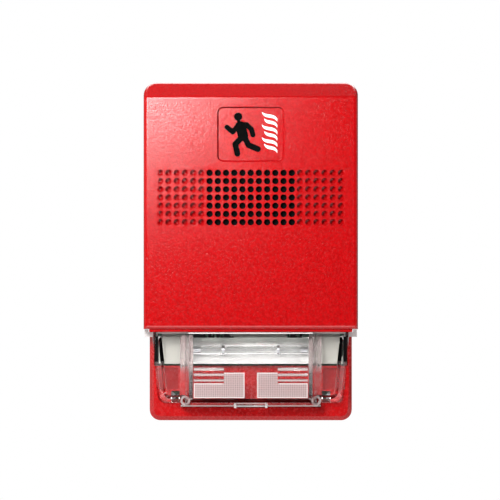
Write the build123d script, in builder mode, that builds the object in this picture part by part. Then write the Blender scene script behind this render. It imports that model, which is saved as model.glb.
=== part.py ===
"""Wall horn strobe for a one-gang electrical box, in millimetres.

+Z is up, the back lies on the wall at Y = 0 and the front faces -Y. The origin is on the wall, midway
between the two screws of the electrical box. "Depth" is a distance out from the wall, towards the room.
"""

import os
from math import atan2, degrees, hypot, radians, tan

from build123d import *

os.makedirs("parts", exist_ok=True)

# ---------------------------------------------------------------- driving dimensions
cover_w = 84.0  # across the cover at its back edge
device_h = 131.8  # top of the cover to the bottom of the base
device_d = 25.4  # wall to front face
strobe_h = 34.7  # the strobe section, below the cover
screw_pitch = 83.3  # box screws of a one-gang box, one above the other
screw_to_top = 8.35  # upper box screw to the top of the cover
box_screw_r = 2.1  # clearance hole for the box screws
draft = 1.5  # degrees, on every outer wall
fit_gap = 0.15  # cover to base, all round
air = 0.3  # clearance between pieces that must not touch
slide_gap = 0.05  # running fit of the small sliding pieces

cover_wall = 2.2
cover_back_d = 1.6  # the cover stops this far off the wall
cover_corner_r = 5.4
cover_edge_r = 1.6
slope_h = 5.4  # the slope along the cover's top edge, down its face
slope_d = 5.6  # and back from its face
split_gap = 1.3  # cover's main lower edge to the lens
lip_h = 1.0  # the thin lip below that edge
lip_in = 2.7  # and how far it is set in from the cover's sides
lip_back = 1.6
hook_x = 22.0
hook_w = 8.0
hook_t = 1.6
hook_drop = 1.8

base_wall = 2.0
floor_t = 2.0
deck_d = 14.0  # front of the red deck that carries the lens
deck_t = 2.0
deck_chamfer = 1.6
base_corner_r = 4.5
panel_depth = 1.0
pocket_depth = 0.8  # cored-out pockets in the back
pocket_r = 2.0
pocket_near = 17.0
pocket_edge = 3.6
pocket_rows = 4
pocket_rib = 3.0
wire_hole_w = 26.0
wire_hole_h = 15.0
wire_hole_up = 6.4  # lower box screw to the bottom of the wiring hole
snap_w = 3.4
snap_h = 4.3
snap_x = 29.3

hole_pitch = 3.175
hole_r = 1.2
hole_edge = 0.18
hole_rows = 7
dimple_d = 1.1  # the blind hollows beside the grille
dimple_taper = 36.0  # degrees, their conical walls
grille_margin = 3.6  # last column of holes to the edge of the face
horn_drop = 44.95  # top of the cover to the centre of the horn

sign_w = 26.0
sign_h = 21.3
sign_r = 2.4
sign_depth = 0.7
sign_drop = 20.5  # top of the cover to the centre of the sign
ink_t = 0.3

horn_r = 20.0
horn_wall = 1.5
horn_mouth_r = 18.5
ledge_d = 13.0  # the diaphragm's seat
ledge_w = 2.0
diaphragm_t = 0.3
piezo_r = 11.0
piezo_t = 0.25
ring_h = 1.8
cup_front_d = 20.2
screen_t = 0.4
contact_x = 6.0
contact_r = 0.5

board_back_d = 5.6
board_t = 1.6
board_side_gap = 1.65
board_over = 11.0  # board's top edge above the horn's rim
board_bottom_gap = 3.0
window_half = 14.5  # the board's window round the lower box screw and the wires
window_above = 23.0  # horn's centre to the window's top edge
window_below_screw = 4.6
boss_r = 3.0
board_screw_r = 1.2
board_head_r = 2.4
board_head_h = 1.7
boss_inset = 4.2

lens_wall = 1.5
lens_margin = 1.25  # deck that shows beside the lens at its top
lens_taper = 2.4  # the lens narrows by this on each side, towards the bottom
wing_d = 19.5  # front of the lens's side wings
wing_bottom = 7.1  # bottom of the base to the bottom of the wings
wing_in = 2.3  # the wings' side walls lean in by this
wing_up = 1.8  # and their bottom wall leans up by this
block_d = 24.6  # front of the lens's middle block
block_half = 27.2  # half width of the block where it meets the deck
block_bottom = 5.4
block_in = 3.3
block_up = 2.2
ear_out = 0.3  # the lens's ears stop this far inside the cover's sides
flange_t = 1.8
ear_t = 1.4
ear_up = 1.0
strip_h = 1.6  # the flange along the block's lower edge
strip_t = 1.2
tab_half = 6.5
tab_h = 2.0
tab_t = 6.0
post_r = 1.0
post_x = 26.4
post_from = 3.0  # split line to the posts' tops
post_to = 13.9
foot_r = 3.2
lens_pin_r = 1.9
lens_pin_bore = 1.1
lens_pin_x = 25.4
lens_pin_up = 8.2

rib_pitch = 2.16
rib_r = 0.62
rib_count = 3
rib_drop = 14.2  # split line to the first rib
rib_from = 10.4  # ribs run from here outwards, from the middle
rib_to = 22.0
window_from = 2.4
window_to = 22.0
window_high = 15.5  # split line to the windows' tops between the ribs
window_under = 19.6  # and under the ribs
window_low = 25.3
window_pad = 0.5
prism_pitch = 1.1
prism_depth = 0.35

strobe_opening_h = 13.1
carrier_h = 10.5
carrier_half = 34.6
carrier_front_d = 15.5
carrier_back_d = 10.4
carrier_bar_t = 1.5
carrier_rim = 1.1
carrier_panel = 0.6
ledge_up = 0.9
slot_h = 1.2
slot_drop = 2.0
carrier_leg_r = 2.0
carrier_leg_x = 30.0
reflector_half = 22.6
reflector_h = 9.6
reflector_focus = 2.2
reflector_front_d = 17.0
reflector_t = 0.4
tube_r = 1.7
tube_bore_r = 1.2
cap_length = 3.0
band_w = 1.0
band_t = 0.2

terminal_count = 4
terminal_pitch = 5.08
terminal_w = 11.0
terminal_h = 9.0
terminal_end = 1.2
terminal_bore = 3.9
terminal_screw_r = 1.85
terminal_travel = 1.6
clamp_t = 0.8
clamp_w = 3.3

capacitor_r = 5.0
capacitor_l = 21.0
switch_w = 14.0
switch_h = 6.4
switch_t = 4.2
knob_w = 2.4
knob_h = 2.2
knob_proud = 1.8
candela_step = 2.0
candela_steps = 4
lever_travel = 1.6
lever_pitch = 4.0
lever_w = 1.6

# ---------------------------------------------------------------- worked out from them
top_z = screw_pitch / 2 + screw_to_top
bottom_z = top_z - device_h
split_z = bottom_z + strobe_h
cover_bottom = split_z + split_gap
base_half = cover_w / 2 - cover_wall - fit_gap
base_top = top_z - cover_wall - fit_gap
inner_half = base_half - base_wall
lean = tan(radians(draft))
horn_z = top_z - horn_drop
sign_z = top_z - sign_drop
board_front_d = board_back_d + board_t
board_half = inner_half - board_side_gap
board_top = horn_z + horn_r + board_over
board_bottom = bottom_z + base_wall + board_bottom_gap
window_top = horn_z - window_above
window_bottom = -screw_pitch / 2 - window_below_screw
cover_inside_d = device_d - cover_wall
opening_bottom = split_z - strobe_opening_h
carrier_top = split_z - lens_wall - air
tube_z = carrier_top - carrier_h / 2
reflector_sag = (reflector_h / 2) ** 2 / (4 * reflector_focus)
tube_d = reflector_front_d - reflector_sag + reflector_focus
deck_back_d = deck_d - deck_t
wing_base = bottom_z + wing_bottom
wire_z = -screw_pitch / 2 + wire_hole_up + wire_hole_h / 2


def front(depth):
    """The plane at this depth that faces the room: its x is X and its y is Z."""
    return Plane.XZ.offset(depth)


def block(x0, x1, z0, z1, d0, d1, mode=Mode.ADD):
    """A straight block between two X, two Z and two depths, in the part being made."""
    with BuildSketch(front(d0)) as outline:
        with Locations(((x0 + x1) / 2, (z0 + z1) / 2)):
            Rectangle(x1 - x0, z1 - z0)
    extrude(outline.sketch, amount=d1 - d0, mode=mode)


def disc(x, z, radius, d0, d1, mode=Mode.ADD):
    """A round pin or hole square to the wall, in the part being made."""
    with BuildSketch(front(d0)) as outline:
        with Locations((x, z)):
            Circle(radius)
    extrude(outline.sketch, amount=d1 - d0, mode=mode)


def along_x(x0, x1, outer, inner, depth, z):
    """A round bar or ring along X, in the part being made."""
    with BuildSketch(Plane.YZ.offset(x0)) as outline:
        with Locations((-depth, z)):
            Circle(outer)
            if inner:
                Circle(inner, mode=Mode.SUBTRACT)
    extrude(outline.sketch, amount=x1 - x0)


def finish(part, name):
    """Label one finished piece and write it."""
    part.label = name
    export_step(part, f"parts/{name}.step")


# ---------------------------------------------------------------- cover
def cover_block(inset, bottom, start_d, edge_r):
    """The cover's outer shape, or with an inset the room inside it."""
    half = cover_w / 2 - inset
    top = top_z - inset
    face_d = device_d - inset
    share = 1 - inset * (1 / slope_d + 1 / slope_h - hypot(1 / slope_d, 1 / slope_h))
    drop = slope_h * share
    back = slope_d * share
    overrun = 10.0
    with BuildPart() as shape:
        with BuildSketch(front(start_d)):
            with Locations((0, (top + bottom - overrun) / 2)):
                Rectangle(2 * half, top - bottom + overrun)
            fillet(vertices().group_by(Axis.Y)[-1], cover_corner_r - inset)
        extrude(amount=face_d - start_d, taper=draft)
        crest = top - (face_d - start_d) * lean
        with BuildSketch(Plane.YZ):
            with BuildLine():
                Polyline(
                    (-face_d - 1, crest + 1),
                    (-face_d - 1, crest - drop - drop / back),
                    (-face_d + back + back / drop, crest + 1),
                    close=True,
                )
            make_face()
        extrude(amount=cover_w, both=True, mode=Mode.SUBTRACT)
        split(bisect_by=Plane.XY.offset(bottom), keep=Keep.TOP)
        if edge_r:
            face = faces().sort_by(Axis.Y)[0]
            tilted = [f for f in faces().filter_by(GeomType.PLANE) if f.normal_at().Z > 0.3]
            slope = [f for f in tilted if f.normal_at().Y < -0.3][0]
            fillet(list(set(face.edges()) | set(slope.edges())), edge_r)
    return shape.part


cover_outside = cover_block(0, cover_bottom, cover_back_d, cover_edge_r)
cover_inside = cover_block(cover_wall, cover_bottom + cover_wall, 0, 0)
face_half = cover_w / 2 - (device_d - cover_back_d) * lean - cover_edge_r
columns = 2 * int((face_half - grille_margin) / hole_pitch) + 1
open_columns = 2 * int(horn_mouth_r / hole_pitch) + 1
side_columns = (columns - open_columns) // 2
side_x = (open_columns + side_columns) * hole_pitch / 2
hook_z = top_z - cover_wall

with BuildPart() as front_cover:
    add(cover_outside)
    add(cover_inside, mode=Mode.SUBTRACT)
    block(
        -(cover_w / 2 - cover_wall),
        cover_w / 2 - cover_wall,
        cover_bottom - cover_wall,
        cover_bottom + 2 * cover_wall,
        0,
        deck_d + air,
        mode=Mode.SUBTRACT,
    )
    with BuildSketch(front(device_d)):
        with Locations((0, horn_z)):
            with GridLocations(hole_pitch, hole_pitch, open_columns, hole_rows):
                Circle(hole_r)
    extrude(amount=-2 * cover_wall, mode=Mode.SUBTRACT)
    with BuildSketch(front(device_d)):
        with Locations((-side_x, horn_z), (side_x, horn_z)):
            with GridLocations(hole_pitch, hole_pitch, side_columns, hole_rows):
                Circle(hole_r)
    extrude(amount=-dimple_d, taper=dimple_taper, mode=Mode.SUBTRACT)
    with BuildSketch(front(device_d)):
        with Locations((0, horn_z)):
            with GridLocations(hole_pitch, hole_pitch, columns, hole_rows):
                Circle(hole_r + hole_edge)
    extrude(amount=-hole_edge, taper=45, mode=Mode.SUBTRACT)
    with BuildSketch(front(device_d)):
        with Locations((0, sign_z)):
            RectangleRounded(sign_w, sign_h, sign_r)
    extrude(amount=-sign_depth, taper=40, mode=Mode.SUBTRACT)
    lip_half = cover_w / 2 - lip_in
    block(-lip_half, lip_half, cover_bottom - lip_h, cover_bottom + cover_wall / 2,
          deck_d + air, device_d - lip_back)
    for side in (-1, 1):
        block(
            side * hook_x - hook_w / 2,
            side * hook_x + hook_w / 2,
            hook_z - hook_drop,
            hook_z + cover_wall / 2,
            cover_back_d,
            cover_back_d + hook_t,
        )
finish(front_cover.part, "front_cover")


# ---------------------------------------------------------------- evacuation sign
def bar(x0, z0, x1, z1, width):
    """A round-ended bar of the sign, from one point to another, about the sign's centre."""
    with Locations(((x0 + x1) / 2, sign_z + (z0 + z1) / 2)):
        SlotCenterToCenter(hypot(x1 - x0, z1 - z0), width, rotation=degrees(atan2(z1 - z0, x1 - x0)))


sign_floor_d = device_d - sign_depth
head_r = 1.6
arm_w = 2.0
leg_w = 2.3
body_w = 4.0
with BuildPart() as sign_runner:
    with BuildSketch(front(sign_floor_d)):
        with Locations((-4.9, sign_z + 6.8)):
            Circle(head_r)
        bar(-4.8, 6.0, -4.4, 3.4, head_r * 0.8)
        bar(-3.9, 3.0, -3.0, -0.6, body_w)
        bar(-4.8, 3.5, -1.6, 3.5, arm_w * 1.2)
        bar(-5.0, 3.2, -7.0, 0.9, arm_w)
        bar(-7.0, 0.9, -9.2, 2.7, arm_w)
        bar(-1.6, 3.6, 0.2, 2.0, arm_w)
        bar(0.2, 2.0, 0.8, -0.2, arm_w)
        bar(-3.5, -1.2, -6.0, -3.8, leg_w)
        bar(-6.0, -3.8, -5.2, -7.5, leg_w)
        bar(-2.4, -1.2, -0.9, -4.2, leg_w)
        bar(-0.9, -4.2, 2.7, -5.7, leg_w)
    extrude(amount=ink_t)
finish(sign_runner.part, "sign_runner")

smoke_bands = 6
smoke_pitch = 2.45
smoke_top = 8.6
smoke_right = 10.2
smoke_long = 5.9
smoke_short = 5.0
smoke_fall = 3.1
smoke_w = 1.15
smoke_wave = 0.35
with BuildPart() as sign_smoke:
    for number in range(smoke_bands):
        run = smoke_short if number % 2 else smoke_long
        z0 = sign_z + smoke_top - number * smoke_pitch
        z1 = z0 - smoke_fall
        x0 = smoke_right - run
        upper = [
            (x0, z0),
            (x0 + run * 0.33, z0 - smoke_fall * 0.33 + smoke_w / 2 - smoke_wave),
            (x0 + run * 0.67, z0 - smoke_fall * 0.67 + smoke_w / 2 + smoke_wave),
            (smoke_right, z1 + smoke_w / 2),
        ]
        lower = [
            (smoke_right, z1 - smoke_w / 2),
            (x0 + run * 0.67, z0 - smoke_fall * 0.67 - smoke_w / 2 + smoke_wave),
            (x0 + run * 0.33, z0 - smoke_fall * 0.33 - smoke_w / 2 - smoke_wave),
            (x0, z0),
        ]
        with BuildSketch(front(sign_floor_d)):
            with BuildLine():
                Spline(*upper)
                Line(upper[-1], lower[0])
                Spline(*lower)
            make_face()
        extrude(amount=ink_t)
finish(sign_smoke.part, "sign_smoke")

with BuildPart() as grille_screen:
    screen_half = open_columns * hole_pitch / 2 + hole_r
    screen_up = hole_rows * hole_pitch / 2 + hole_r
    d1 = cover_inside_d
    block(-screen_half, screen_half, horn_z - screen_up, horn_z + screen_up, d1 - screen_t, d1)
finish(grille_screen.part, "grille_screen")

# ---------------------------------------------------------------- base
snap_z = wing_base + 0.4 + snap_h / 2
boss_x = board_half - boss_inset
boss_places = [
    (side * boss_x, z) for side in (-1, 1) for z in (board_top - boss_inset, board_bottom + boss_inset)
]
with BuildPart() as base_housing:
    with BuildSketch(front(0)):
        with Locations((0, (base_top + bottom_z) / 2)):
            Rectangle(2 * base_half, base_top - bottom_z)
        fillet(vertices().group_by(Axis.Y)[-1], cover_corner_r - cover_wall - fit_gap)
        fillet(vertices().group_by(Axis.Y)[0], base_corner_r)
    extrude(amount=deck_d, taper=draft)
    rim = faces().sort_by(Axis.Y)[0]
    chamfer(rim.edges(), deck_chamfer)
    block(-inner_half, inner_half, split_z, base_top - base_wall, floor_t, deck_d + 1, mode=Mode.SUBTRACT)
    block(-inner_half, inner_half, bottom_z + base_wall, split_z, floor_t, deck_back_d, mode=Mode.SUBTRACT)
    block(-inner_half, inner_half, opening_bottom, split_z, floor_t, deck_d + 1, mode=Mode.SUBTRACT)
    for x, z in boss_places:
        disc(x, z, boss_r, floor_t, board_back_d)
        disc(x, z, board_screw_r + slide_gap, floor_t, board_back_d, mode=Mode.SUBTRACT)
    for z in (-screw_pitch / 2, screw_pitch / 2):
        disc(0, z, box_screw_r, 0, floor_t, mode=Mode.SUBTRACT)
    row_h = (base_top - bottom_z - 2 * pocket_edge - (pocket_rows - 1) * pocket_rib) / pocket_rows
    half = (inner_half - pocket_near) / 2
    middle_z = (base_top + bottom_z) / 2
    with BuildSketch(front(0)) as pockets:
        with Locations((-pocket_near - half, middle_z), (pocket_near + half, middle_z)):
            with GridLocations(0, row_h + pocket_rib, 1, pocket_rows):
                RectangleRounded(2 * half, row_h, pocket_r)
    extrude(pockets.sketch, amount=pocket_depth, mode=Mode.SUBTRACT)
    low = wire_z - wire_hole_h / 2
    block(-wire_hole_w / 2, wire_hole_w / 2, low, low + wire_hole_h, 0, floor_t, mode=Mode.SUBTRACT)
    for side in (-1, 1):
        x = side * snap_x
        block(x - snap_w / 2, x + snap_w / 2, snap_z - snap_h / 2, snap_z + snap_h / 2,
              deck_back_d, deck_d, mode=Mode.SUBTRACT)
        x = side * (block_half + inner_half) / 2
        half = (inner_half - block_half) / 2 - 1.0
        block(x - half, x + half, snap_z + snap_h / 2 + 0.6, opening_bottom - 0.8,
              deck_d - panel_depth, deck_d, mode=Mode.SUBTRACT)
        x = side * hook_x
        half = hook_w / 2 + air
        block(x - half, x + half, base_top - base_wall, base_top + 1, cover_back_d - air,
              cover_back_d + 2 * hook_t + hook_drop, mode=Mode.SUBTRACT)
finish(base_housing.part, "base_housing")

# ---------------------------------------------------------------- lens
lens_half = base_half - lens_margin


def wing_shape(inset):
    """The lens's side wings as one solid, or with an inset the room inside them."""
    top = split_z - inset
    with BuildPart() as shape:
        for depth, in_by, up_by in ((deck_d, 0, 0), (wing_d - inset, wing_in, wing_up)):
            with BuildSketch(front(depth)):
                with BuildLine():
                    low = wing_base + up_by + inset
                    wide = lens_half - in_by - inset
                    Polyline(
                        (-wide, top),
                        (-wide + lens_taper, low),
                        (wide - lens_taper, low),
                        (wide, top),
                        close=True,
                    )
                make_face()
        loft(ruled=True)
        feet = edges().filter_by(lambda e: abs((e @ 1 - e @ 0).Y) > air)
        feet = feet.filter_by(lambda e: e.center().Z < (wing_base + split_z) / 2)
        fillet(feet, foot_r - inset)
    return shape.part


def middle_shape(inset):
    """The lens's middle block as one solid, or with an inset the room inside it."""
    top = split_z - inset
    low = bottom_z + block_bottom + inset
    with BuildPart() as shape:
        for depth, in_by, up_by in ((deck_d, 0, 0), (block_d - inset, block_in, block_up)):
            with BuildSketch(front(depth)):
                with Locations((0, (top + low + up_by) / 2)):
                    Rectangle(2 * (block_half - in_by - inset), top - low - up_by)
        loft(ruled=True)
    return shape.part


lens_wings = wing_shape(0)
lens_middle = middle_shape(0)
wings_room = wing_shape(lens_wall)
middle_room = middle_shape(lens_wall)
ear_half = cover_w / 2 - ear_out - wing_d * lean
pad_d = block_d - lens_wall
leg_z = wing_base + 0.9
leg_t = 1.4
leg_reach = 1.6  # behind the deck
leg_front = 2.2  # and before it
catch_h = 0.8
with BuildPart() as strobe_lens:
    add(lens_wings)
    add(lens_middle)
    block(-ear_half, ear_half, split_z - flange_t, split_z, deck_d, wing_d - lens_wall)
    for side in (-1, 1):
        near, far = sorted((side * ear_half, side * (ear_half - ear_t)))
        block(near, far, split_z - flange_t, split_z + ear_up, deck_d, wing_d - lens_wall)
    low = bottom_z + block_bottom
    block(-block_half, block_half, low, low + strip_h, deck_d, deck_d + strip_t)
    block(-tab_half, tab_half, low, low + tab_h, deck_d, deck_d + tab_t)
    add(wings_room, mode=Mode.SUBTRACT)
    add(middle_room, mode=Mode.SUBTRACT)
    for side in (-1, 1):
        low = split_z - window_low
        for x0, x1, drop in ((window_from, rib_from, window_high), (rib_from, window_to, window_under)):
            near, far = sorted((side * x0, side * x1))
            block(near, far, low, split_z - drop, pad_d - window_pad, pad_d + lens_wall / 2)
        near, far = sorted((side * rib_from, side * rib_to))
        for number in range(rib_count):
            along_x(near, far, rib_r, 0, pad_d, split_z - rib_drop - rib_pitch * number)
        with BuildSketch(Plane.XY.offset(split_z - post_to)) as post:
            with Locations((side * post_x, lens_wall - wing_d)):
                Circle(post_r)
        extrude(post.sketch, amount=post_to - post_from)
        disc(side * lens_pin_x, bottom_z + lens_pin_up, lens_pin_r, deck_d, wing_d)
        disc(side * lens_pin_x, bottom_z + lens_pin_up, lens_pin_bore, deck_d, wing_d, mode=Mode.SUBTRACT)
        x = side * snap_x
        half = snap_w / 2 - air
        block(x - half, x + half, leg_z, leg_z + leg_t, deck_back_d - leg_reach, deck_d + leg_front)
        block(x - half, x + half, leg_z, leg_z + leg_t + catch_h, deck_back_d - leg_reach, deck_back_d - air)
    prism_y = window_pad - pad_d
    wide = prism_pitch * 0.45
    with BuildSketch(Plane.XY.offset(split_z - window_low)) as upright:
        for number in range(int((window_to - window_from) / prism_pitch)):
            for side in (-1, 1):
                x = side * (window_from + (number + 0.5) * prism_pitch)
                Polygon((x - wide, prism_y), (x + wide, prism_y), (x, prism_y - prism_depth), align=None)
    extrude(upright.sketch, amount=window_low - window_high, mode=Mode.SUBTRACT)
    with BuildSketch(Plane.YZ.offset(-window_to)) as level:
        for number in range(int((window_low - window_high) / prism_pitch)):
            z = split_z - window_low + (number + 0.5) * prism_pitch
            Polygon((prism_y, z - wide), (prism_y, z + wide), (prism_y - prism_depth, z), align=None)
    extrude(level.sketch, amount=2 * window_to, mode=Mode.SUBTRACT)
finish(strobe_lens.part, "strobe_lens")

# ---------------------------------------------------------------- flash unit
with BuildPart() as reflector_carrier:
    low = carrier_top - carrier_h
    block(-carrier_half, carrier_half, low, carrier_top, carrier_back_d, carrier_back_d + carrier_bar_t)
    block(-carrier_half, carrier_half, carrier_top, split_z + ledge_up, carrier_back_d, deck_d - air)
    for x0, x1 in ((-reflector_half, -reflector_half * 0.4), (reflector_half * 0.62, reflector_half)):
        slot_z = split_z - slot_drop
        block(x0, x1, slot_z, slot_z + slot_h, carrier_back_d, deck_d, mode=Mode.SUBTRACT)
    for side in (-1, 1):
        near, far = sorted((side * (reflector_half + reflector_t + air), side * carrier_half))
        block(near, far, low, carrier_top, carrier_back_d, carrier_front_d)
        near, far = sorted((side * (block_half + carrier_rim), side * (carrier_half - carrier_rim)))
        block(near, far, low + carrier_rim, carrier_top - carrier_rim,
              carrier_front_d - carrier_panel, carrier_front_d, mode=Mode.SUBTRACT)
        disc(side * carrier_leg_x, tube_z, carrier_leg_r, board_front_d, carrier_back_d)
finish(reflector_carrier.part, "reflector_carrier")

with BuildPart() as reflector:
    with BuildSketch(Plane.YZ):
        with BuildLine():
            Bezier(
                (-reflector_front_d, tube_z - reflector_h / 2 - reflector_t),
                (-reflector_front_d + 2 * (reflector_sag + reflector_t), tube_z),
                (-reflector_front_d, tube_z + reflector_h / 2 + reflector_t),
            )
            Line(
                (-reflector_front_d, tube_z + reflector_h / 2 + reflector_t),
                (-reflector_front_d, tube_z - reflector_h / 2 - reflector_t),
            )
        make_face()
    extrude(amount=reflector_half + reflector_t, both=True)
    with BuildSketch(Plane.YZ):
        with BuildLine():
            Bezier(
                (-reflector_front_d, tube_z - reflector_h / 2),
                (-reflector_front_d + 2 * reflector_sag, tube_z),
                (-reflector_front_d, tube_z + reflector_h / 2),
            )
            Line(
                (-reflector_front_d, tube_z + reflector_h / 2),
                (-reflector_front_d, tube_z - reflector_h / 2),
            )
        make_face()
    extrude(amount=reflector_half, both=True, mode=Mode.SUBTRACT)
    with BuildSketch(Plane.YZ):
        with Locations((-tube_d, tube_z)):
            Circle(tube_r + slide_gap)
    extrude(amount=reflector_half + 2, both=True, mode=Mode.SUBTRACT)
finish(reflector.part, "reflector")

tube_half = reflector_half - 0.2

with BuildPart() as flash_tube:
    along_x(-tube_half, tube_half, tube_r, tube_bore_r, tube_d, tube_z)
finish(flash_tube.part, "flash_tube")

with BuildPart() as tube_electrodes:
    for x0 in (-tube_half, tube_half - cap_length):
        along_x(x0, x0 + cap_length, tube_bore_r - 0.05, 0, tube_d, tube_z)
finish(tube_electrodes.part, "tube_electrodes")

with BuildPart() as trigger_band:
    for x0 in (-tube_half / 2, tube_half / 2 - band_w):
        along_x(x0, x0 + band_w, tube_r + band_t, tube_r, tube_d, tube_z)
finish(trigger_band.part, "trigger_band")

# ---------------------------------------------------------------- horn
with BuildPart() as horn_cup:
    disc(0, horn_z, horn_r, board_front_d, cup_front_d)
    bore_r = horn_r - horn_wall - ledge_w
    disc(0, horn_z, bore_r, board_front_d + horn_wall, cup_front_d, mode=Mode.SUBTRACT)
    disc(0, horn_z, horn_r - horn_wall, ledge_d, cup_front_d, mode=Mode.SUBTRACT)
    for side in (-1, 1):
        disc(side * contact_x, horn_z, contact_r + air, board_front_d, ledge_d, mode=Mode.SUBTRACT)
finish(horn_cup.part, "horn_cup")

seat_r = horn_r - horn_wall - slide_gap
with BuildPart() as horn_diaphragm:
    disc(0, horn_z, seat_r, ledge_d, ledge_d + diaphragm_t)
finish(horn_diaphragm.part, "horn_diaphragm")

with BuildPart() as piezo_disc:
    disc(0, horn_z, piezo_r, ledge_d - piezo_t, ledge_d)
finish(piezo_disc.part, "piezo_disc")

with BuildPart() as horn_ring:
    ring_d = ledge_d + diaphragm_t
    disc(0, horn_z, seat_r, ring_d, ring_d + ring_h)
    disc(0, horn_z, seat_r - ledge_w, ring_d, ring_d + ring_h, mode=Mode.SUBTRACT)
finish(horn_ring.part, "horn_ring")

with BuildPart() as horn_gasket:
    gasket_d = cover_inside_d - screen_t - air
    disc(0, horn_z, horn_r, cup_front_d, gasket_d)
    disc(0, horn_z, horn_r - horn_wall, cup_front_d, gasket_d, mode=Mode.SUBTRACT)
finish(horn_gasket.part, "horn_gasket")

with BuildPart() as horn_contacts:
    for side in (-1, 1):
        disc(side * contact_x, horn_z, contact_r, board_front_d, ledge_d - piezo_t)
finish(horn_contacts.part, "horn_contacts")

# ---------------------------------------------------------------- circuit board and what it carries
with BuildPart() as circuit_board:
    block(-board_half, board_half, board_bottom, board_top, board_back_d, board_front_d)
    block(-window_half, window_half, window_bottom, window_top,
          board_back_d, board_front_d, mode=Mode.SUBTRACT)
    for x, z in boss_places:
        disc(x, z, board_screw_r + 0.2, board_back_d, board_front_d, mode=Mode.SUBTRACT)
finish(circuit_board.part, "circuit_board")

cross_w = 0.7
cross_l = 2.6
with BuildPart() as board_screws:
    for x, z in boss_places:
        disc(x, z, board_screw_r, floor_t + 0.4, board_front_d)
        disc(x, z, board_head_r, board_front_d, board_front_d + board_head_h)
        for turn in (0, 90):
            with BuildSketch(front(board_front_d + board_head_h)) as slot:
                with Locations((x, z)):
                    Rectangle(cross_w, cross_l, rotation=turn)
            extrude(slot.sketch, amount=-cross_w, mode=Mode.SUBTRACT)
finish(board_screws.part, "board_screws")

window_mid = (window_top + window_bottom) / 2
side_x0 = window_half + 2.0
capacitor_x = board_half - capacitor_r - 4.0
can_edge_r = 0.6
with BuildPart() as flash_capacitor:
    with BuildSketch(Plane.XY.offset(window_mid - capacitor_l / 2)):
        with Locations((capacitor_x, -(board_front_d + capacitor_r))):
            Circle(capacitor_r)
    extrude(amount=capacitor_l)
    fillet(edges().filter_by(GeomType.CIRCLE), can_edge_r)
finish(flash_capacitor.part, "flash_capacitor")

coil_x = board_half / 2
coil_z = board_bottom + 10.8
coil_r = 2.6
coil_h = 4.4
coil_edge_r = 0.4
with BuildPart() as trigger_coil:
    disc(coil_x, coil_z, coil_r, board_front_d, board_front_d + coil_h)
    fillet(edges().filter_by(GeomType.CIRCLE).sort_by(Axis.Y)[0], coil_edge_r)
finish(trigger_coil.part, "trigger_coil")

choke_x = -board_half + 13.5
choke_z = horn_z + horn_r + 4.0
flange_h = 1.0
spool_h = 7.0
spool_r = 5.0
core_r = 2.4
wound_r = 4.3
with BuildPart() as choke_core:
    disc(choke_x, choke_z, spool_r, board_front_d, board_front_d + flange_h)
    disc(choke_x, choke_z, core_r, board_front_d + flange_h, board_front_d + spool_h - flange_h)
    disc(choke_x, choke_z, spool_r, board_front_d + spool_h - flange_h, board_front_d + spool_h)
finish(choke_core.part, "choke_core")

with BuildPart() as choke_winding:
    wound_d = board_front_d + flange_h
    disc(choke_x, choke_z, wound_r, wound_d, board_front_d + spool_h - flange_h)
    disc(choke_x, choke_z, core_r, wound_d, board_front_d + spool_h - flange_h, mode=Mode.SUBTRACT)
finish(choke_winding.part, "choke_winding")

chip_w = 5.0
chip_h = 6.2
chip_t = 1.6
chip_x = 8.5
chip_z = horn_z + horn_r + chip_h / 2 + 2.4
pins_a_side = 4
pin_pitch = 1.27
pin_w = 0.4
pin_l = 1.0
pin_lap = 0.1
with BuildPart() as driver_chips:
    for x, z in ((-chip_x, chip_z), (chip_x, chip_z), (-coil_x, coil_z)):
        block(x - chip_w / 2, x + chip_w / 2, z - chip_h / 2, z + chip_h / 2,
              board_front_d + 0.2, board_front_d + chip_t)
        for side in (-1, 1):
            for number in range(pins_a_side):
                pin_z = z + (number - (pins_a_side - 1) / 2) * pin_pitch
                pin_x = x + side * (chip_w + pin_l) / 2
                block(pin_x - pin_l / 2 - pin_lap, pin_x + pin_l / 2, pin_z - pin_w / 2, pin_z + pin_w / 2,
                      board_front_d, board_front_d + pin_w)
finish(driver_chips.part, "driver_chips")

resistor_count = 6
resistor_pitch = 4.2
resistor_l = 2.0
resistor_w = 1.2
resistor_t = 0.6
resistor_z = board_bottom + 9.0
with BuildPart() as chip_resistors:
    for number in range(resistor_count):
        x = (number - (resistor_count - 1) / 2) * resistor_pitch
        z0 = resistor_z - resistor_w / 2
        block(x - resistor_l / 2, x + resistor_l / 2, z0, z0 + resistor_w,
              board_front_d, board_front_d + resistor_t)
finish(chip_resistors.part, "chip_resistors")

# ---------------------------------------------------------------- wiring terminals
block_x1 = -side_x0
block_x0 = block_x1 - terminal_w
block_len = terminal_count * terminal_pitch + terminal_end * 2
terminal_d1 = board_front_d + terminal_h
screw_x = (block_x0 + block_x1) / 2
entry_h = 3.2
floor_h = 1.4
clamp_seat_d = board_front_d + floor_h + entry_h - terminal_travel
terminal_places = [
    window_mid + (number - (terminal_count - 1) / 2) * terminal_pitch for number in range(terminal_count)
]
with BuildPart() as terminal_block:
    block(block_x0, block_x1, window_mid - block_len / 2, window_mid + block_len / 2,
          board_front_d, terminal_d1)
    for z in terminal_places:
        block(screw_x - 2.4, block_x1, z - terminal_bore / 2, z + terminal_bore / 2,
              board_front_d + floor_h, board_front_d + floor_h + entry_h + 1.2, mode=Mode.SUBTRACT)
        disc(screw_x, z, terminal_bore / 2, board_front_d + floor_h, terminal_d1, mode=Mode.SUBTRACT)
finish(terminal_block.part, "terminal_block")

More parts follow.
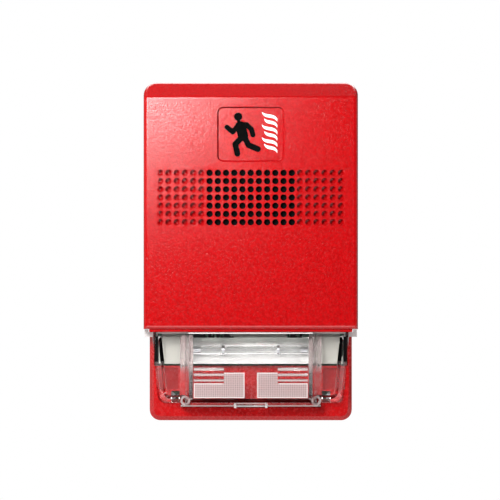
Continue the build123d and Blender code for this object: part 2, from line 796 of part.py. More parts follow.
for number, z in enumerate(terminal_places, start=1):
    with BuildPart() as terminal_clamp:
        block(screw_x - 1.8, screw_x + 1.8, z - clamp_w / 2, z + clamp_w / 2,
              clamp_seat_d, clamp_seat_d + clamp_t)
    finish(terminal_clamp.part, f"terminal_clamp_{number}")
    with BuildPart() as terminal_screw:
        screw_top = terminal_d1 - terminal_travel - 0.4
        disc(screw_x, z, 1.2, clamp_seat_d + clamp_t, screw_top - 1.2)
        disc(screw_x, z, terminal_screw_r, screw_top - 1.2, screw_top)
        block(screw_x - terminal_screw_r, screw_x + terminal_screw_r, z - 0.3, z + 0.3,
              screw_top - 0.6, screw_top, mode=Mode.SUBTRACT)
    finish(terminal_screw.part, f"terminal_screw_{number}")


# ---------------------------------------------------------------- setting switches
def switch_body(x, z, wide, slots):
    """A slide switch's body; each slot is its middle X, its half length and its height."""
    with BuildPart() as body:
        block(x - wide / 2, x + wide / 2, z - switch_h / 2, z + switch_h / 2,
              board_front_d, board_front_d + switch_t)
        for slot_x, slot_z, half_x, half_z in slots:
            block(slot_x - half_x, slot_x + half_x, slot_z - half_z, slot_z + half_z,
                  board_front_d + 1.0, board_front_d + switch_t, mode=Mode.SUBTRACT)
    return body.part


candela_x = 20.0
candela_z = horn_z + horn_r + 4.0
candela_run = candela_step * (candela_steps - 1)
slot_half = (candela_run + knob_w) / 2 + air
candela_slot = (candela_x, candela_z, slot_half, knob_h / 2 + slide_gap)
candela_switch = switch_body(candela_x, candela_z, switch_w, [candela_slot])
finish(candela_switch, "candela_switch")
with BuildPart() as candela_slider:
    x = candela_x - candela_run / 2
    block(x - knob_w / 2, x + knob_w / 2, candela_z - knob_h / 2, candela_z + knob_h / 2,
          board_front_d + 1.0 + slide_gap, board_front_d + switch_t + knob_proud)
finish(candela_slider.part, "candela_slider")

option_x = -28.5
option_z = -10.0
lever_half = (lever_w + lever_travel) / 2 + air
option_slots = [
    (option_x + side * lever_pitch / 2, option_z, lever_w / 2 + slide_gap, lever_half) for side in (-1, 1)
]
option_switch = switch_body(option_x, option_z, 2 * lever_pitch + 1.6, option_slots)
finish(option_switch, "option_switch")
for side, name in ((-1, "tone_lever"), (1, "volume_lever")):
    with BuildPart() as lever:
        x = option_x + side * lever_pitch / 2
        z = option_z - lever_travel / 2
        block(x - lever_w / 2, x + lever_w / 2, z - lever_w / 2, z + lever_w / 2,
              board_front_d + 1.0 + slide_gap, board_front_d + switch_t + 0.7)
    finish(lever.part, name)
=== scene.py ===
"""A wall horn strobe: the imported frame, dressed with its finishes, mouldings and wound parts."""

import math

import bmesh
import bpy
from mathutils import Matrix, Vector


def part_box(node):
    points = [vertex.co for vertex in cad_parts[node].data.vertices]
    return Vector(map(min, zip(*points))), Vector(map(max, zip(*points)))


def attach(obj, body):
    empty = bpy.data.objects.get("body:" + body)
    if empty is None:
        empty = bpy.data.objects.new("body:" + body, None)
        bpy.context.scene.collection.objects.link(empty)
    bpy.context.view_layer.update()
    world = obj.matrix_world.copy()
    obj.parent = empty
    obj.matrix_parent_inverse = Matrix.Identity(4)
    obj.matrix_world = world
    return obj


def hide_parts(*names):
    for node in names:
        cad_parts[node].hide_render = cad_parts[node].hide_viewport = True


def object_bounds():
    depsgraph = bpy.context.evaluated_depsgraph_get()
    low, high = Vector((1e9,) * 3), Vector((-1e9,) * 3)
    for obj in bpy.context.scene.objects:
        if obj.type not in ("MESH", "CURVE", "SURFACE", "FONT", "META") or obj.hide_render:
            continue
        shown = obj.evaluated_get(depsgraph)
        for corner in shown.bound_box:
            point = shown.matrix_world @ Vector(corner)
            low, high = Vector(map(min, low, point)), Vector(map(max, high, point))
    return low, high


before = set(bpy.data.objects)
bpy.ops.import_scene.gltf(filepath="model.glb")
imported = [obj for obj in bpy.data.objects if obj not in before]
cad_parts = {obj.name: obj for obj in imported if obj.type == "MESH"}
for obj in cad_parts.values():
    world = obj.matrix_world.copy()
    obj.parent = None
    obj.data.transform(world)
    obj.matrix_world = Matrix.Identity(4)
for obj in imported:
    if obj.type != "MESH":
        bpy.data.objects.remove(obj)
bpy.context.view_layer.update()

# ------------------------------------------------------------------ floor, light and camera
# A pale floor well below the device, a dim front and bright sides for its gloss, one large
# soft box above its left shoulder, and a long lens straight in front of it.
scene = bpy.context.scene
scene.view_settings.view_transform = "Standard"
low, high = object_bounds()
middle = (low + high) / 2
view_width = 0.196
view_depth = 0.0016
view_left = 0.0003
view_rise = 0.0007
camera_distance = 1.6
sensor = 36.0
camera_data = bpy.data.cameras.new("camera")
camera_data.sensor_width = sensor
camera_data.lens = sensor * (camera_distance - view_depth) / view_width
camera = bpy.data.objects.new("camera", camera_data)
camera.location = (middle.x - view_left, -camera_distance, middle.z + view_rise)
camera.rotation_euler = (math.radians(90), 0, 0)
scene.collection.objects.link(camera)
scene.camera = camera

world = bpy.data.worlds.new("studio")
scene.world = world
world.use_nodes = True
sky = world.node_tree
sky.nodes.clear()
front_from, front_to = -0.90, -0.10
front_glow, side_glow = 0.01, 0.30
lens_glow = 0.5
toward = sky.nodes.new("ShaderNodeTexCoord")
split_toward = sky.nodes.new("ShaderNodeSeparateXYZ")
fall = sky.nodes.new("ShaderNodeMapRange")
fall.inputs["From Min"].default_value = front_from
fall.inputs["From Max"].default_value = front_to
fall.inputs["To Min"].default_value = front_glow
fall.inputs["To Max"].default_value = side_glow
around = sky.nodes.new("ShaderNodeBackground")
seen = sky.nodes.new("ShaderNodeBackground")
seen.inputs["Strength"].default_value = 1.0
seen.inputs["Color"].default_value = (1, 1, 1, 1)
path = sky.nodes.new("ShaderNodeLightPath")
through_lens = sky.nodes.new("ShaderNodeMath")
through_lens.operation = "MULTIPLY"
through_lens.inputs[1].default_value = lens_glow
straight = sky.nodes.new("ShaderNodeMath")
straight.operation = "MAXIMUM"
pick = sky.nodes.new("ShaderNodeMixShader")
world_out = sky.nodes.new("ShaderNodeOutputWorld")
sky.links.new(toward.outputs["Generated"], split_toward.inputs[0])
sky.links.new(split_toward.outputs["Y"], fall.inputs["Value"])
sky.links.new(fall.outputs["Result"], around.inputs["Strength"])
sky.links.new(path.outputs["Is Camera Ray"], straight.inputs[0])
sky.links.new(path.outputs["Is Transmission Ray"], through_lens.inputs[0])
sky.links.new(through_lens.outputs[0], straight.inputs[1])
sky.links.new(straight.outputs[0], pick.inputs[0])
sky.links.new(around.outputs[0], pick.inputs[1])
sky.links.new(seen.outputs[0], pick.inputs[2])
sky.links.new(pick.outputs[0], world_out.inputs[0])


def soft_box(name, place, aim, wide, tall, watts):
    """A rectangular soft box that the camera doesn't see."""
    data = bpy.data.lights.new(name, "AREA")
    data.shape = "RECTANGLE"
    data.size = wide
    data.size_y = tall
    data.energy = watts
    lamp = bpy.data.objects.new(name, data)
    lamp.location = place
    lamp.rotation_mode = "QUATERNION"
    lamp.rotation_quaternion = (Vector(aim) - Vector(place)).to_track_quat("-Z", "Y")
    lamp.visible_camera = False
    scene.collection.objects.link(lamp)


soft_box("key_box", (-0.108, -0.32, 0.122), (-0.06, 0, 0.06), 0.15, 0.15, 2.3)
soft_box("under_box", (0.0, -0.38, -0.40), (0, 0, -0.05), 0.5, 0.24, 1.0)
soft_box("rim_box", (0.0, 0.28, 0.42), (0, 0, 0.05), 0.5, 0.34, 3.2)
soft_box("left_strip", (-0.6, -0.05, 0.0), (0, 0, -0.02), 0.12, 0.5, 0.28)
soft_box("right_strip", (0.6, -0.05, 0.0), (0, 0, -0.02), 0.12, 0.5, 0.22)


# ------------------------------------------------------------------ moulded red plastic, base housing
# The base is one tray of flame-retardant ABS, injection moulded in red with a satin finish off
# the tool. The two box screws hold it to the wall, and its deck carries the lens.
mm = 0.001
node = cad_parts


class Value:
    """A shader socket that sums can be written on."""

    def __init__(self, finish, socket):
        self.finish = finish
        self.socket = socket

    def sum(self, operation, first, second):
        return self.finish.add("ShaderNodeMath", {"operation": operation}, {0: first, 1: second})

    def __add__(self, other):
        return self.sum("ADD", self, other)

    def __radd__(self, other):
        return self.sum("ADD", other, self)

    def __sub__(self, other):
        return self.sum("SUBTRACT", self, other)

    def __rsub__(self, other):
        return self.sum("SUBTRACT", other, self)

    def __mul__(self, other):
        return self.sum("MULTIPLY", self, other)

    def __rmul__(self, other):
        return self.sum("MULTIPLY", other, self)

    def __gt__(self, other):
        return self.sum("GREATER_THAN", self, other)

    def __lt__(self, other):
        return self.sum("LESS_THAN", self, other)

    def __truediv__(self, other):
        return self.sum("DIVIDE", self, other)

    def __abs__(self):
        return self.sum("ABSOLUTE", self, 0.0)

    def sine(self):
        return self.sum("SINE", self, 0.0)

    def fraction(self):
        return self.sum("FRACT", self, 0.0)

    def either(self, other):
        return self.sum("MAXIMUM", self, other)

    def within(self, least, most):
        """One inside these two limits, nothing outside."""
        return (self > least) * (self < most)


class Finish:
    """One material's nodes."""

    def __init__(self, name):
        self.material = bpy.data.materials.new(name)
        self.material.use_nodes = True
        self.tree = self.material.node_tree
        self.tree.nodes.clear()
        self.out = self.tree.nodes.new("ShaderNodeOutputMaterial")

    def add(self, kind, settings=None, inputs=None, out=0):
        """A node of this kind: its settings first, then its sockets; gives back one output."""
        made = self.tree.nodes.new(kind)
        for key, setting in (settings or {}).items():
            setattr(made, key, setting)
        for key, value in (inputs or {}).items():
            if isinstance(value, Value):
                self.tree.links.new(value.socket, made.inputs[key])
            else:
                made.inputs[key].default_value = value
        return Value(self, made.outputs[out])

    def place(self):
        return self.add("ShaderNodeTexCoord", out="Object")

    def axis(self, letter):
        """One coordinate of the shared frame, in metres."""
        return self.add("ShaderNodeSeparateXYZ", None, {"Vector": self.place()}, "XYZ".index(letter))

    def noise(self, scale, detail=2.0, roughness=0.5, stretch=None):
        """Soft random grey, about half on average."""
        where = self.place()
        if stretch:
            where = self.add("ShaderNodeMapping", None, {"Vector": where, "Scale": stretch})
        return self.add("ShaderNodeTexNoise", None,
                        {"Vector": where, "Scale": scale, "Detail": detail, "Roughness": roughness})

    def cells(self, scale):
        """Distance to the middle of the nearest random cell."""
        return self.add("ShaderNodeTexVoronoi", {"feature": "F1"},
                        {"Vector": self.place(), "Scale": scale}, "Distance")

    def fit(self, value, from_low, from_high, to_low, to_high):
        """This value moved from one range to another and held inside it."""
        return self.add("ShaderNodeMapRange", None,
                        {"Value": value, 1: from_low, 2: from_high, 3: to_low, 4: to_high})

    def blend(self, share, first, second):
        """The first colour, going over to the second by this share."""
        first = first if isinstance(first, Value) else (*first, 1)
        second = second if isinstance(second, Value) else (*second, 1)
        return self.add("ShaderNodeMix", {"data_type": "RGBA"}, {0: share, 6: first, 7: second}, 2)

    def relief(self, height, depth):
        """Fine relief of this depth, in metres."""
        return self.add("ShaderNodeBump", None, {"Height": height, "Distance": depth})

    def surface(self, **sockets):
        """The material's shader, from its sockets' names in small letters."""
        names = {key: key.replace("_", " ").title().replace("Ior", "IOR") for key in sockets}
        values = {}
        for key, value in sockets.items():
            if key == "base_color" and not isinstance(value, Value):
                value = (*value, 1)
            values[names[key]] = value
        shader = self.add("ShaderNodeBsdfPrincipled", None, values)
        self.tree.links.new(shader.socket, self.out.inputs["Surface"])
        return shader


def dress(finish, *names):
    """Give CAD nodes this finish in place of their plain one."""
    for name in names:
        for slot in node[name].material_slots:
            slot.material = finish.material


def soften(name, width):
    """Round a CAD node's sharp edges a little, as moulding does."""
    sharp = math.radians(35)
    weld = node[name].modifiers.new("weld", "WELD")
    weld.merge_threshold = 0.002 * mm
    edge = node[name].modifiers.new("edge", "BEVEL")
    edge.width = width
    edge.segments = 2
    edge.limit_method = "ANGLE"
    edge.angle_limit = sharp
    edge.harden_normals = True


def red_plastic(name, tint, deep, gloss, grain, shade):
    """Red ABS, a little uneven in colour, with a grain of this depth; shade gives the places painted
    shadow red as shade.
    """
    shadow_red = (0.05, 0.0004, 0.0006)
    pebble_scale, fine_scale, sheen_scale = 1400, 3000, 900
    made = Finish(name)
    painted_shade_mask = shade(made)
    pebble = made.noise(pebble_scale, 2, 0.6)
    height = pebble + made.noise(fine_scale, 2, 0.5) * 0.4
    mottle = made.fit(pebble, 0.36, 0.64, 0.0, 1.0)
    sheen = made.fit(made.noise(sheen_scale, 3), 0.3, 0.7, gloss - 0.05, gloss + 0.06)
    made.surface(
        # Painted shade: the marked places are painted over in shadow red.
        base_color=made.blend(painted_shade_mask, made.blend(mottle, deep, tint), shadow_red),
        roughness=sheen - painted_shade_mask * 0.08,
        normal=made.relief(height, grain),
    )
    return made


# Where shade is painted on the base: the gaps beside the carrier and the floors of the side panels.
gap_in, gap_out = 35.4 * mm, 37.8 * mm
gap_foot, gap_top = low.z + 21.6 * mm, low.z + 33.4 * mm
gap_front, gap_back = -13.7 * mm, -1.0 * mm
panel_foot, panel_top = low.z + 8.0 * mm, low.z + 21.0 * mm
panel_front, panel_back = -13.2 * mm, -12.8 * mm


def base_painted_shade(made):
    """Painted shade: the gaps beside the reflector's carrier, painted near black as deep shadow, and the
    floors of the side panels, painted darker.
    """
    across = abs(made.axis("X"))
    up = made.axis("Z")
    back = made.axis("Y")
    gap = across.within(gap_in, gap_out) * up.within(gap_foot, gap_top) * back.within(gap_front, gap_back)
    panel = back.within(panel_front, panel_back) * up.within(panel_foot, panel_top)
    return gap * 0.97 + panel * 0.35


base_red = red_plastic(
    "base_red", (0.38, 0.0012, 0.0025), (0.33, 0.0008, 0.0015), 0.26, 0.008 * mm, base_painted_shade
)
dress(base_red, "base_housing")

# ------------------------------------------------------------------ circuit board
# A 1.6 mm glass-epoxy board, routed to shape, with green solder mask over its copper tracks.
# Four plated steel screws hold it on the base's bosses. The tube's electrodes and band and the
# terminal screws have the same plating.
board_green = Finish("board_green")
flat_on = board_green.add("ShaderNodeMapping", None,
                          {"Vector": board_green.place(), "Rotation": (math.radians(90), 0, 0)})
tracks = board_green.add(
    "ShaderNodeTexBrick", {"offset": 0.35, "squash": 1.0},
    {"Vector": flat_on, "Scale": 160.0, "Mortar Size": 0.06, "Brick Width": 1.3, "Row Height": 0.35}, 1,
)
weave = board_green.noise(1500, 2)
board_green.surface(
    base_color=board_green.blend(tracks, (0.010, 0.105, 0.040), (0.022, 0.20, 0.075)),
    roughness=board_green.fit(weave, 0.3, 0.7, 0.24, 0.34),
    normal=board_green.relief(tracks + weave * 0.3, 0.03 * mm),
)
dress(board_green, "circuit_board")

steel = Finish("steel")
lines = steel.noise(900, 3, 0.6, (1, 1, 8))
steel.surface(base_color=(0.60, 0.60, 0.62), metallic=1.0,
              roughness=steel.fit(lines, 0.3, 0.7, 0.22, 0.42), normal=steel.relief(lines, 0.004 * mm))
dress(steel, "board_screws", "tube_electrodes", "trigger_band")
dress(steel, *[f"terminal_screw_{number}" for number in range(1, 5)])

# ------------------------------------------------------------------ flash capacitor
# A drawn aluminium can in a shrunk black sleeve, soldered flat to the board. A grey stripe marks
# its negative side, and the can is bare at both ends.
sleeve = Finish("sleeve_black")
can_low, can_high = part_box("flash_capacitor")
stripe_in, stripe_half, stripe_deep = 7.6 * mm, 1.4 * mm, 5.0 * mm
bare_end = 0.5 * mm
can_up = sleeve.axis("Z")
stripe = abs(sleeve.axis("X") - can_low.x - stripe_in) < stripe_half
stripe = stripe * (sleeve.axis("Y") < can_low.y + stripe_deep)
bare = (can_up > can_high.z - bare_end).either(can_up < can_low.z + bare_end)
black_tone = sleeve.blend(sleeve.noise(300, 2), (0.010, 0.011, 0.016), (0.022, 0.023, 0.030))
sleeve_tone = sleeve.blend(stripe, black_tone, (0.42, 0.42, 0.44))
sleeve.surface(base_color=sleeve.blend(bare, sleeve_tone, (0.62, 0.62, 0.63)), metallic=bare,
               roughness=sleeve.fit(sleeve.noise(700, 3), 0.3, 0.7, 0.20, 0.30),
               normal=sleeve.relief(sleeve.noise(500, 2), 0.01 * mm))
dress(sleeve, "flash_capacitor")

# ------------------------------------------------------------------ driver chips and resistors
# Three chips in matt black epoxy with tinned pins bent out at both sides, and six film resistors
# with tinned ends, all soldered to the face of the board.
epoxy = Finish("chip_black")
chip_half = 2.52 * mm
pair_x, lone_x = 8.5 * mm, -18.0 * mm
chip_across = epoxy.axis("X")
pins = (abs(abs(chip_across) - pair_x) > chip_half) * (abs(chip_across - lone_x) > chip_half)
epoxy_tone = epoxy.blend(epoxy.noise(2500, 2), (0.012, 0.012, 0.013), (0.028, 0.028, 0.030))
epoxy.surface(base_color=epoxy.blend(pins, epoxy_tone, (0.66, 0.66, 0.68)), metallic=pins,
              roughness=epoxy.fit(pins, 0.0, 1.0, 0.62, 0.25),
              normal=epoxy.relief(epoxy.noise(3500, 2), 0.012 * mm))
dress(epoxy, "driver_chips")

chip_film = Finish("resistor_film")
film_pitch, film_half = 4.2 * mm, 0.62 * mm
film_step = ((chip_film.axis("X") / film_pitch).fraction() - 0.5) * film_pitch
ends = abs(film_step) > film_half
chip_film.surface(base_color=chip_film.blend(ends, (0.016, 0.016, 0.018), (0.70, 0.70, 0.71)),
                  metallic=ends, roughness=0.35,
                  normal=chip_film.relief(chip_film.noise(3000, 2), 0.01 * mm))
dress(chip_film, "chip_resistors")

# ------------------------------------------------------------------ choke
# A pressed ferrite bobbin standing on the board, wound with twelve turns of enamelled copper wire
# laid side by side.
ferrite = Finish("ferrite")
ferrite_tone = ferrite.blend(ferrite.noise(1800, 3), (0.030, 0.031, 0.034), (0.085, 0.086, 0.09))
ferrite.surface(base_color=ferrite_tone, roughness=0.55,
                normal=ferrite.relief(ferrite.noise(2600, 3), 0.02 * mm))
dress(ferrite, "choke_core")

copper = Finish("copper_wire")
copper.surface(base_color=copper.blend(copper.noise(500, 2), (0.50, 0.14, 0.04), (0.74, 0.27, 0.10)),
               metallic=0.85, roughness=0.24, normal=copper.relief(copper.noise(1500, 2), 0.01 * mm))
wound_low, wound_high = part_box("choke_winding")
wound_mid = (wound_low + wound_high) / 2
wire_r = 0.22 * mm
coil_r = (wound_high.x - wound_low.x) / 2 - wire_r
turn_count = 12
steps_a_turn = 36
sides = 8
wire = bmesh.new()
rings = []
length = wound_high.y - wound_low.y - 2 * wire_r
for step in range(turn_count * steps_a_turn + 1):
    share = step / (turn_count * steps_a_turn)
    turn = share * turn_count * 2 * math.pi
    outward = Vector((math.cos(turn), 0, math.sin(turn)))
    centre = Vector((wound_mid.x, wound_low.y + wire_r + share * length, wound_mid.z)) + outward * coil_r
    ring = []
    for side in range(sides):
        angle = side / sides * 2 * math.pi
        rise = Vector((0, wire_r * math.sin(angle), 0))
        ring.append(wire.verts.new(centre + outward * wire_r * math.cos(angle) + rise))
    rings.append(ring)
for first, second in zip(rings, rings[1:]):
    for side in range(sides):
        after = (side + 1) % sides
        wire.faces.new((first[side], first[after], second[after], second[side]))
wire.faces.new(rings[0][::-1])
wire.faces.new(rings[-1])
bmesh.ops.recalc_face_normals(wire, faces=wire.faces)
wire_mesh = bpy.data.meshes.new("choke_wire")
wire.to_mesh(wire_mesh)
wire_mesh.shade_smooth()
choke_wire = bpy.data.objects.new("choke_wire", wire_mesh)
scene.collection.objects.link(choke_wire)
choke_wire.data.materials.append(copper.material)
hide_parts("choke_winding")
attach(choke_wire, "base")

# ------------------------------------------------------------------ trigger coil
# The coil that fires the tube is wound on a small former, potted in amber resin and soldered to
# the board.
potting = Finish("coil_potting")
potting.surface(base_color=potting.blend(potting.noise(400, 3), (0.45, 0.16, 0.02), (0.60, 0.26, 0.04)),
                roughness=0.25, normal=potting.relief(potting.noise(600, 2), 0.04 * mm))
dress(potting, "trigger_coil")

# ------------------------------------------------------------------ wiring terminals
# A four-way strip moulded in green nylon and soldered to the board, with a plated screw over each
# brass clamp plate. The horn's disc and contacts are stamped from the same brass.
nylon = Finish("terminal_green")
nylon.surface(base_color=nylon.blend(nylon.noise(250, 3), (0.02, 0.19, 0.075), (0.035, 0.26, 0.11)),
              roughness=nylon.fit(nylon.noise(1200, 3), 0.3, 0.7, 0.36, 0.5),
              normal=nylon.relief(nylon.noise(1800, 3), 0.01 * mm))
dress(nylon, "terminal_block")

brass = Finish("brass_sheet")
rolled = brass.noise(700, 3, 0.6, (1, 1, 14))
brass.surface(base_color=brass.blend(brass.noise(120, 3), (0.72, 0.50, 0.20), (0.82, 0.62, 0.30)),
              metallic=1.0, roughness=brass.fit(rolled, 0.3, 0.7, 0.24, 0.4),
              normal=brass.relief(rolled, 0.003 * mm))
dress(brass, "horn_diaphragm", "horn_contacts", *[f"terminal_clamp_{number}" for number in range(1, 5)])

# ------------------------------------------------------------------ setting switches
# A black four-position slide for the flash brightness and a blue two-way pair for tone and
# volume, all moulded in nylon with white knobs, and soldered to the board.
def small_moulding(name, dark, light, gloss, shine=0.5):
    """A small satin moulding in one colour."""
    made = Finish(name)
    made.surface(base_color=made.blend(made.noise(350, 3), dark, light),
                 roughness=made.fit(made.noise(1500, 3), 0.3, 0.7, gloss - 0.06, gloss + 0.06),
                 normal=made.relief(made.noise(2200, 3), 0.008 * mm), specular_ior_level=shine)
    return made


black = small_moulding("black_plastic", (0.012, 0.012, 0.013), (0.024, 0.024, 0.026), 0.42)
blue = small_moulding("switch_blue", (0.02, 0.07, 0.28), (0.03, 0.10, 0.36), 0.4)
white = small_moulding("knob_white", (0.72, 0.71, 0.68), (0.82, 0.81, 0.79), 0.38)
dress(black, "candela_switch", "horn_cup", "horn_ring")
dress(blue, "option_switch")
dress(white, "candela_slider", "tone_lever", "volume_lever")

# ------------------------------------------------------------------ horn
# A brass disc with a silvered ceramic wafer behind it, clamped by a black ring in the moulded
# cup that tunes it. A foam ring seals the cup to the cover's grille.
ceramic = Finish("piezo_ceramic")
ceramic.surface(base_color=ceramic.blend(ceramic.noise(800, 3), (0.62, 0.60, 0.55), (0.78, 0.76, 0.70)),
                roughness=0.35, metallic=0.3)
dress(ceramic, "piezo_disc")
foam = Finish("gasket_foam")
foam.surface(base_color=foam.blend(foam.cells(2600), (0.012, 0.012, 0.012), (0.05, 0.05, 0.05)),
             roughness=0.9, normal=foam.relief(foam.cells(2600), 0.12 * mm))
dress(foam, "horn_gasket")

# ------------------------------------------------------------------ flash unit
# A xenon tube lies along the focus of a metallised trough. The off-white carrier holds both
# and stands on the board with two legs; its side boxes fill the ends of the opening.
carrier_white = Finish("carrier_white")
carrier_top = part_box("reflector_carrier")[1].z
slot_end = 22.7 * mm
# Painted shadow: the row of slot openings near the carrier's top is painted near black.
slot_row = carrier_white.axis("Z").within(carrier_top - 3.0 * mm, carrier_top - 1.6 * mm)
slot_left = carrier_white.axis("X").within(-slot_end, -8.9 * mm)
slot_right = carrier_white.axis("X").within(13.9 * mm, slot_end)
slot_shadow = slot_row * slot_left.either(slot_right)
carrier_tone = carrier_white.blend(carrier_white.noise(350, 3), (0.35, 0.34, 0.30), (0.41, 0.40, 0.36))
carrier_white.surface(base_color=carrier_white.blend(slot_shadow, carrier_tone, (0.01, 0.01, 0.01)),
                      roughness=carrier_white.fit(carrier_white.noise(1500, 3), 0.3, 0.7, 0.39, 0.51),
                      normal=carrier_white.relief(carrier_white.noise(2200, 3), 0.008 * mm))
dress(carrier_white, "reflector_carrier")
soften("reflector_carrier", 0.25 * mm)
mirror = Finish("mirror_film")
mirror_waves = mirror.noise(90, 2, 0.5, (0.25, 1, 1))
mirror_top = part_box("reflector")[1].z
# Painted shade: the top of the trough is painted grey-green, as the shade under the ledge above it.
mirror_painted_shade = mirror.fit(mirror.axis("Z"), mirror_top - 3.0 * mm, mirror_top - 1.8 * mm, 0.0, 0.8)
mirror_silver = mirror.blend(mirror_waves, (0.86, 0.85, 0.83), (0.96, 0.95, 0.93))
mirror.surface(base_color=mirror.blend(mirror_painted_shade, mirror_silver, (0.34, 0.36, 0.32)), metallic=0.35,
               roughness=mirror.fit(mirror_waves, 0.3, 0.7, 0.16, 0.30),
               normal=mirror.relief(mirror_waves, 0.15 * mm))
dress(mirror, "reflector")


def clear(name, tint, ior, rough):
    """A clear moulding or glass that lets the light through to what is behind it."""
    made = Finish(name)
    shader = made.surface(base_color=tint, roughness=rough, ior=ior, transmission_weight=1.0)
    through = made.add("ShaderNodeBsdfTransparent", None, {"Color": (0.6, 0.6, 0.6, 1)})
    shadow = made.add("ShaderNodeLightPath", out="Is Shadow Ray")
    both = made.add("ShaderNodeMixShader", None, {0: shadow, 1: shader, 2: through})
    made.tree.links.new(both.socket, made.out.inputs["Surface"])
    return made, both


tube_glass = clear("tube_glass", (1, 1, 1), 1.47, 0.02)[0]
dress(tube_glass, "flash_tube")

# ------------------------------------------------------------------ strobe lens
# One clear polycarbonate moulding: a middle block, lower wings, and hooks that snap into the base.
# Fine prisms are cut into its two windows and three ribs stand above each. The edge-on side
# walls are painted hazy white as highlight, as are the window borders, the lines on the ribs, pin
# rings, edge lines and ears; painted shadow blackens where slot openings and gaps show through.
lens_clear, lens_body = clear("lens_clear", (1, 1, 1), 1.58, 0.015)
lens_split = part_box("strobe_lens")[1].z - 1.0 * mm
across = abs(lens_clear.axis("X"))
side = lens_clear.axis("X")
drop = lens_split - lens_clear.axis("Z")
depth = 0.0 - lens_clear.axis("Y")
face = depth > 21.5 * mm

window_from, window_to, window_mid = 2.4 * mm, 22.0 * mm, 10.4 * mm
window_high, window_under, window_foot = 15.5 * mm, 19.6 * mm, 25.3 * mm
border = 0.4 * mm
prism_turn = math.pi / (0.85 * mm)
inner = across.within(window_from, window_mid) * drop.within(window_high, window_foot)
outer = across.within(window_mid, window_to) * drop.within(window_under, window_foot)
window = inner.either(outer) * face
low_edge = window_foot - border
deep_in = across.within(window_from + border, window_mid + border)
deep_in = deep_in * drop.within(window_high + border, low_edge)
deep_out = across.within(window_mid, window_to - border)
deep_out = deep_out * drop.within(window_under + border, low_edge)
# The windows' borders are painted whiter as highlight.
rim = window - deep_in.either(deep_out) * face
hatch = abs((across * prism_turn).sine()) * 0.25 + abs((drop * prism_turn).sine()) * 0.2
# Frosting over the prism windows, plus painted highlight added from here on.
frost_and_highlight = window * (hatch + 0.40) + rim * 0.12

# Three lines on the ribs above each outer window, painted white as highlight.
rib_drop, rib_pitch, rib_half = 14.2 * mm, 2.16 * mm, 0.34 * mm
for number in range(3):
    at = rib_drop + rib_pitch * number
    rib_highlight = across.within(window_mid, window_to) * drop.within(at - rib_half, at + rib_half)
    frost_and_highlight = frost_and_highlight.either(rib_highlight * face * 0.8)

# Painted highlight: the block's side walls, seen edge-on, painted hazy white in streaks, fading lower
# down.
wall_in, wall_out, wall_top, wall_foot = 22.3 * mm, 27.4 * mm, 1.0 * mm, 25.0 * mm
side_wall_highlight = across.within(wall_in, wall_out) * drop.within(wall_top, wall_foot) * (depth > 15.0 * mm)
streak = lens_clear.noise(260, 3, 0.6, (1, 1, 0.35))
upper = lens_clear.fit(drop, 12.0 * mm, 16.0 * mm, 0.60, 0.12)
frost_and_highlight = frost_and_highlight.either(side_wall_highlight * lens_clear.fit(streak, 0.42, 0.6, 0.10, 1.0) * upper)

# Painted highlight: a pale ring round each pin.
pin_x, pin_drop, pin_bore, pin_rim = 25.4 * mm, 26.5 * mm, 1.0 * mm, 1.9 * mm
ring_out = (across - pin_x) * (across - pin_x) + (drop - pin_drop) * (drop - pin_drop)
frost_and_highlight = frost_and_highlight.either(ring_out.within(pin_bore ** 2, pin_rim ** 2) * 0.75)

# Painted highlight: the lens's top and bottom edge lines, the ends of the middle tab and the ears are
# painted white.
top_edge_highlight = drop.within(-0.2 * mm, 0.45 * mm) * (depth > 18.0 * mm)
low_edge_highlight = drop.within(28.3 * mm, 28.9 * mm) * (depth > 14.5 * mm)
tab_end_highlight = across.within(5.6 * mm, 6.6 * mm) * drop.within(27.6 * mm, 29.4 * mm) * (depth > 15.5 * mm)
ears = across > 37.9 * mm
frost_and_highlight = frost_and_highlight.either(top_edge_highlight * 0.75).either(low_edge_highlight * 0.6).either(tab_end_highlight * 0.85)
frost_and_highlight = frost_and_highlight.either(ears * 0.55)

# Painted shadow: broken dash marks where the carrier's slot openings show through the top, and streaks
# over the gaps beside the carrier, are painted near black.
dash_top, dash_foot = 0.5 * mm, 2.0 * mm
dash_row = side.within(-22.2 * mm, -6.6 * mm).either(side.within(14.2 * mm, 19.7 * mm))
broken = lens_clear.noise(900, 1, 0.5, (1, 1, 0.2)) > 0.49
dash_shadow = dash_row * drop.within(dash_top, dash_foot) * face * broken
strip_in, strip_out, strip_top, strip_foot = 36.0 * mm, 37.4 * mm, 1.6 * mm, 11.5 * mm
strip_shadow = across.within(strip_in, strip_out) * drop.within(strip_top, strip_foot) * (streak > 0.38)
dim = dash_shadow.either(strip_shadow)

# Painted highlight: these places are painted near white, paler than the frosting's pinkish white.
bright = (rim * 0.5).either(top_edge_highlight).either(low_edge_highlight).either(tab_end_highlight).either(ears)
haze_highlight_tone = lens_clear.blend(bright, (0.39, 0.30, 0.295), (0.72, 0.68, 0.67))
haze_and_highlight = lens_clear.add("ShaderNodeBsdfPrincipled", None, {
    "Base Color": haze_highlight_tone, "Roughness": 0.4, "IOR": 1.58,
    "Normal": lens_clear.relief(lens_clear.noise(1800, 2), 0.01 * mm)})
# A near-black surface standing in for the painted shadow.
dark = lens_clear.add("ShaderNodeBsdfPrincipled", None, {
    "Base Color": (0.004, 0.004, 0.004, 1), "Roughness": 0.9, "Specular IOR Level": 0.05})
frosted_and_highlit = lens_clear.add("ShaderNodeMixShader", None, {0: frost_and_highlight, 1: lens_body, 2: haze_and_highlight})
lens_shader = lens_clear.add("ShaderNodeMixShader", None, {0: dim, 1: frosted_and_highlit, 2: dark})
lens_clear.tree.links.new(lens_shader.socket, lens_clear.out.inputs["Surface"])
dress(lens_clear, "strobe_lens")
soften("strobe_lens", 0.2 * mm)

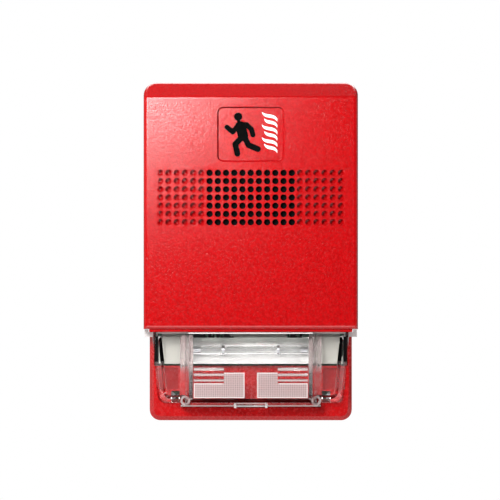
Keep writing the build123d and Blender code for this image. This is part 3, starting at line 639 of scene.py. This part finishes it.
# ------------------------------------------------------------------ front cover
# The cover is a red ABS shell with a fine leather grain on its face, moulded in one piece with
# the grille. It hooks over the base's top edge and swings down to snap shut.
grille_low, grille_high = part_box("grille_screen")
grille_z = (grille_low.z + grille_high.z) / 2
grille_pitch = 3.175 * mm
grille_half_x, grille_half_z = 35.5 * mm, 12.5 * mm
cover_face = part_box("front_cover")[0].y
skin = cover_face + 0.02 * mm
hollow_floor = cover_face + 0.22 * mm
rim_start, rim_floor = cover_face + 0.12 * mm, cover_face + 0.66 * mm
sign_z = high.z - 20.5 * mm
sign_half_x, sign_half_z = 14.5 * mm, 12.0 * mm
rim_left, rim_top = -12.2 * mm, 9.9 * mm


def cover_painted_shade(made):
    """Painted shade: the grille's conical hollows are painted darker at their upper left, and the sign's
    sloping rim likewise on its top and left.
    """
    across = made.axis("X")
    up = made.axis("Z")
    sunk = made.fit(made.axis("Y"), skin, hollow_floor, 0.0, 1.0)
    local_x = (across / grille_pitch + 0.5).fraction() - 0.5
    local_z = ((up - grille_z) / grille_pitch + 0.5).fraction() - 0.5
    # In each of the grille's hollows, shade is painted darker towards the upper left.
    crescent_shade = made.fit(local_x - local_z, -0.20, 0.22, 0.93, 0.04)
    grille = (abs(across) < grille_half_x) * (abs(up - grille_z) < grille_half_z)
    wall = made.fit(made.axis("Y"), skin, rim_start, 0.0, 1.0)
    wall = wall * (made.axis("Y") < rim_floor)
    sign = (abs(across) < sign_half_x) * (abs(up - sign_z) < sign_half_z)
    # Only the top and left walls of the sign's sloping rim take painted shade.
    lee = (across < rim_left).either(up - sign_z > rim_top)
    return sunk * grille * crescent_shade + wall * sign * lee * 0.8


cover_red = red_plastic(
    "cover_red", (0.39, 0.0012, 0.0025), (0.29, 0.0008, 0.0015), 0.18, 0.06 * mm, cover_painted_shade
)
dress(cover_red, "front_cover")

# ------------------------------------------------------------------ grille screen
# A flat cut sheet of black woven screen behind the cover's open holes. It lets the sound out and
# hides the horn.
screen = Finish("screen_black")
screen.surface(base_color=screen.blend(screen.cells(1800), (0.001, 0.001, 0.001), (0.006, 0.006, 0.006)),
               roughness=0.9, specular_ior_level=0.05)
dress(screen, "grille_screen")

# ------------------------------------------------------------------ evacuation sign
# A generic running figure and smoke bands in the cover's sunk panel, hot-stamped in matt black
# and white foil.
ink_black = small_moulding("ink_black", (0.001, 0.001, 0.001), (0.003, 0.003, 0.003), 0.8, 0.02)
ink_white = small_moulding("ink_white", (0.82, 0.80, 0.80), (0.90, 0.88, 0.88), 0.5)
dress(ink_black, "sign_runner")
dress(ink_white, "sign_smoke")

# ------------------------------------------------------------------ floor
# A plain pale disc, far enough below the device that it also clears a look from underneath. It
# glows a little, as a lit studio floor does.
floor_size = 7.6
floor_drop = 1.4
disc_mesh = bpy.data.meshes.new("floor")
disc = bmesh.new()
bmesh.ops.create_circle(disc, cap_ends=True, radius=floor_size, segments=96)
disc.to_mesh(disc_mesh)
floor = bpy.data.objects.new("floor", disc_mesh)
floor.location = (0, 0, middle.z - floor_drop)
scene.collection.objects.link(floor)
pale = Finish("floor_pale")
pale.surface(base_color=(0.86, 0.86, 0.85), roughness=0.8,
             emission_color=(1, 1, 1, 1), emission_strength=0.6)
floor.data.materials.append(pale.material)
